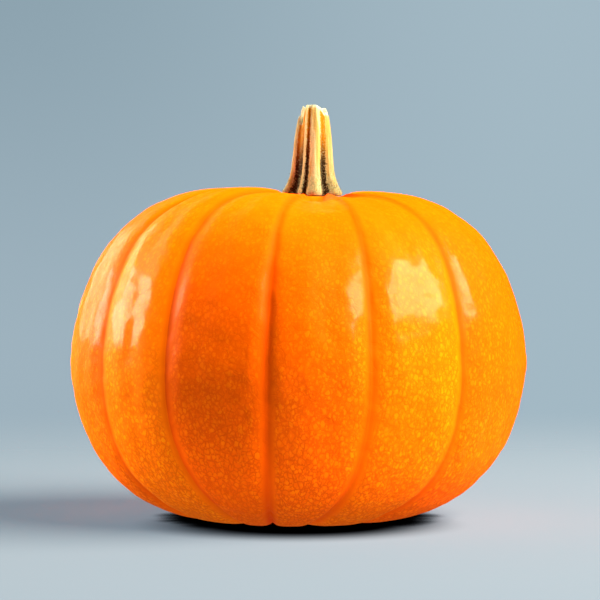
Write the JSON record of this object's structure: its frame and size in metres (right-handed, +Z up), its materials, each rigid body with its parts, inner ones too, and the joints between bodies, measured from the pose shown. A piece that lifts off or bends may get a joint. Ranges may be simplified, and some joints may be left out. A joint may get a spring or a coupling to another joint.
{
  "type": "pumpkin",
  "caption": "Small round pie pumpkin with a ribbed orange rind and a dry, ridged stem, as picked, resting on its flattened base.",
  "frame": {"origin": "middle of the object's box, at the height of the surface it rests on", "axes": "+Z up through the crown, -Y towards the front lobe, +X to the right seen from the front; the stem stands a little to +X"},
  "size_m": [0.2006, 0.2008, 0.182],
  "materials": {
    "rind": "waxy orange rind with a satin gloss and fine paler mottling; leather stands in for plant skin",
    "stem": "dry, matt, woody stem, straw on its ridges and dark brown in its furrows"
  },
  "bodies": {
    "root": {"fruit": "rind", "stem": "stem"}
  },
  "joints": []
}
